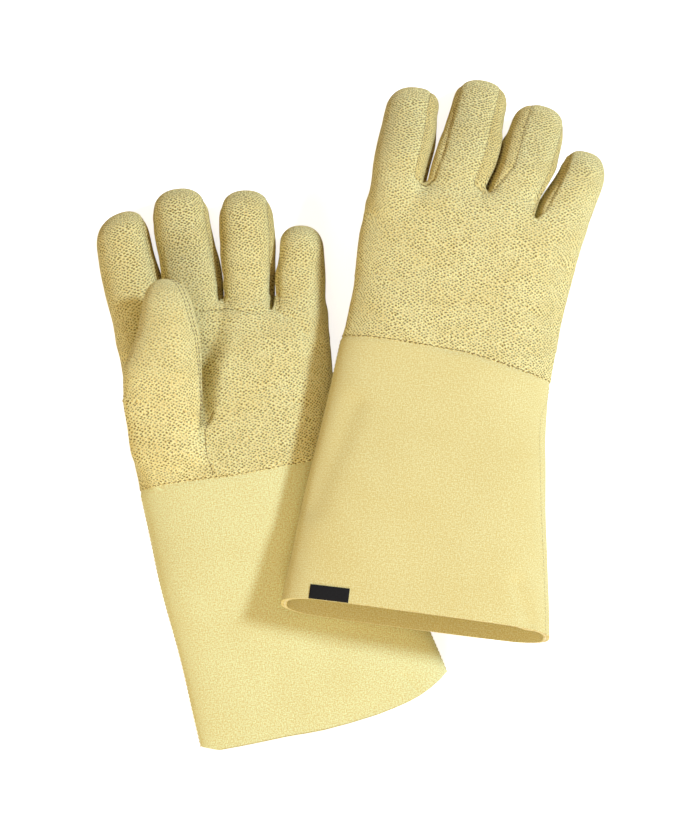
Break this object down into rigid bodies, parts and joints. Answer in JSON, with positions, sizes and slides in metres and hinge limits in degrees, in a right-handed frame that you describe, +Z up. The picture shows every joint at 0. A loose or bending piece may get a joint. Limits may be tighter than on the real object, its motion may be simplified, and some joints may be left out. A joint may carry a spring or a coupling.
{
  "type": "cryogenic gloves",
  "caption": "Long felt-lined aramid gauntlets for handling very cold things, laid out palm up and back up with one cuff resting across the other.",
  "frame": {"origin": "middle of the pair's outline, on the surface it lies on", "axes": "+X across the pair to the right, +Y towards the fingertips, +Z up from the surface"},
  "size_m": [0.3575, 0.4834, 0.0674],
  "materials": {
    "knit": "looped aramid knit with small pinholes in rows, matt",
    "cuff_cloth": "plain dense aramid cloth, matt with a faint nap",
    "felt": "needled felt, matt",
    "liner": "fine soft knit, matt",
    "thread": "twisted aramid sewing thread",
    "label": "bare woven tape, satin"
  },
  "bodies": {
    "left_glove": {"left_back_panel": "knit", "left_palm_panel": "knit", "left_two_finger_front": "knit", "left_fourchette_1": "knit", "left_fourchette_2": "knit", "left_fourchette_3": "knit", "left_insulation": "felt", "left_liner": "liner", "left_thumb_seam": "thread", "left_wrist_seam": "thread", "left_cuff_back": "cuff_cloth", "left_cuff_palm": "cuff_cloth", "left_cuff_lining": "liner", "left_cuff_hem": "cuff_cloth"},
    "left_thumb": {"left_thumb_front": "knit", "left_thumb_back": "knit", "left_thumb_insulation": "felt", "left_thumb_liner": "liner"},
    "right_glove": {"right_back_panel": "knit", "right_palm_panel": "knit", "right_two_finger_front": "knit", "right_fourchette_1": "knit", "right_fourchette_2": "knit", "right_fourchette_3": "knit", "right_insulation": "felt", "right_liner": "liner", "right_thumb_seam": "thread", "right_wrist_seam": "thread", "right_cuff_back": "cuff_cloth", "right_cuff_palm": "cuff_cloth", "right_cuff_lining": "liner", "right_cuff_hem": "cuff_cloth", "right_label": "label"},
    "right_thumb": {"right_thumb_front": "knit", "right_thumb_back": "knit", "right_thumb_insulation": "felt", "right_thumb_liner": "liner"}
  },
  "joints": [
    {"name": "right_glove_lift", "type": "slide", "parent": "left_glove", "child": "right_glove", "axis": [0, 0, 1], "range_m": [0, 0.15]},
    {"name": "left_thumb_swing", "type": "hinge", "parent": "left_glove", "child": "left_thumb", "pos_m": [-0.12488, -0.02177, 0.045], "axis": [0, 0, 1], "range_deg": [0, 40]},
    {"name": "right_thumb_swing", "type": "hinge", "parent": "right_glove", "child": "right_thumb", "pos_m": [0.03156, 0.06614, 0.02], "axis": [0, 0, 1], "range_deg": [0, 40]}
  ]
}
